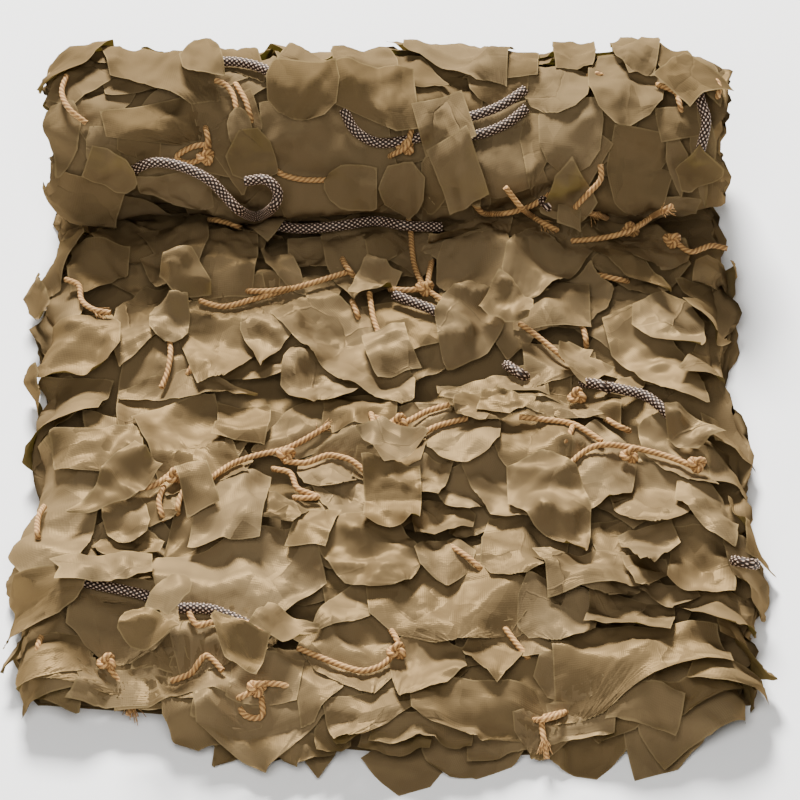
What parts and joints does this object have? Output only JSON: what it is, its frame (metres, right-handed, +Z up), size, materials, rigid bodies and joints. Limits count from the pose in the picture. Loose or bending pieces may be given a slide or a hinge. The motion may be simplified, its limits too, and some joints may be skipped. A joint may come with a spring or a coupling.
{
  "type": "part-rolled camouflage netting",
  "caption": "Camouflage netting of leaf-cut garnish cloth on a twine net with a braided border rope, folded into a strip and rolled up at one end",
  "frame": {"origin": "centre of the bottom of the cloth's bounding box, on the surface that it lies on", "axes": "X along the roll, -Y along the flat run away from the roll, Z up"},
  "size_m": [0.483, 0.5661, 0.1361],
  "materials": {
    "garnish_cloth": "thin crumpled taffeta with a satin sheen",
    "border_rope": "braided, dark with pale flecks",
    "net_twine": "twisted, matt"
  },
  "bodies": {
    "root": {"garnish_cloth": "garnish_cloth", "rope_crease": "border_rope", "rope_hook": "border_rope", "rope_left_a": "border_rope", "rope_left_b": "border_rope", "rope_run_centre": "border_rope", "rope_run_right": "border_rope", "rope_top_bow": "border_rope", "rope_top_left": "border_rope", "rope_top_pair_a": "border_rope", "rope_top_pair_b": "border_rope", "rope_top_right": "border_rope", "twine_back": "net_twine", "twine_back_left": "net_twine", "twine_centre": "net_twine", "twine_centre_drop": "net_twine", "twine_corner_tail": "net_twine", "twine_front_bow": "net_twine", "twine_front_left": "net_twine", "twine_front_low": "net_twine", "twine_front_tail": "net_twine", "twine_knot_a": "net_twine", "twine_knot_b": "net_twine", "twine_left": "net_twine", "twine_left_drop": "net_twine", "twine_long_left": "net_twine", "twine_long_right": "net_twine", "twine_right": "net_twine", "twine_right_back": "net_twine", "twine_right_bow": "net_twine", "twine_right_long": "net_twine", "twine_right_tail": "net_twine", "twine_roll_centre": "net_twine", "twine_roll_drop": "net_twine", "twine_roll_hang": "net_twine", "twine_roll_left": "net_twine", "twine_roll_loop": "net_twine", "twine_roll_slant": "net_twine", "twine_roll_tail": "net_twine", "twine_roll_tie": "net_twine"}
  },
  "joints": []
}
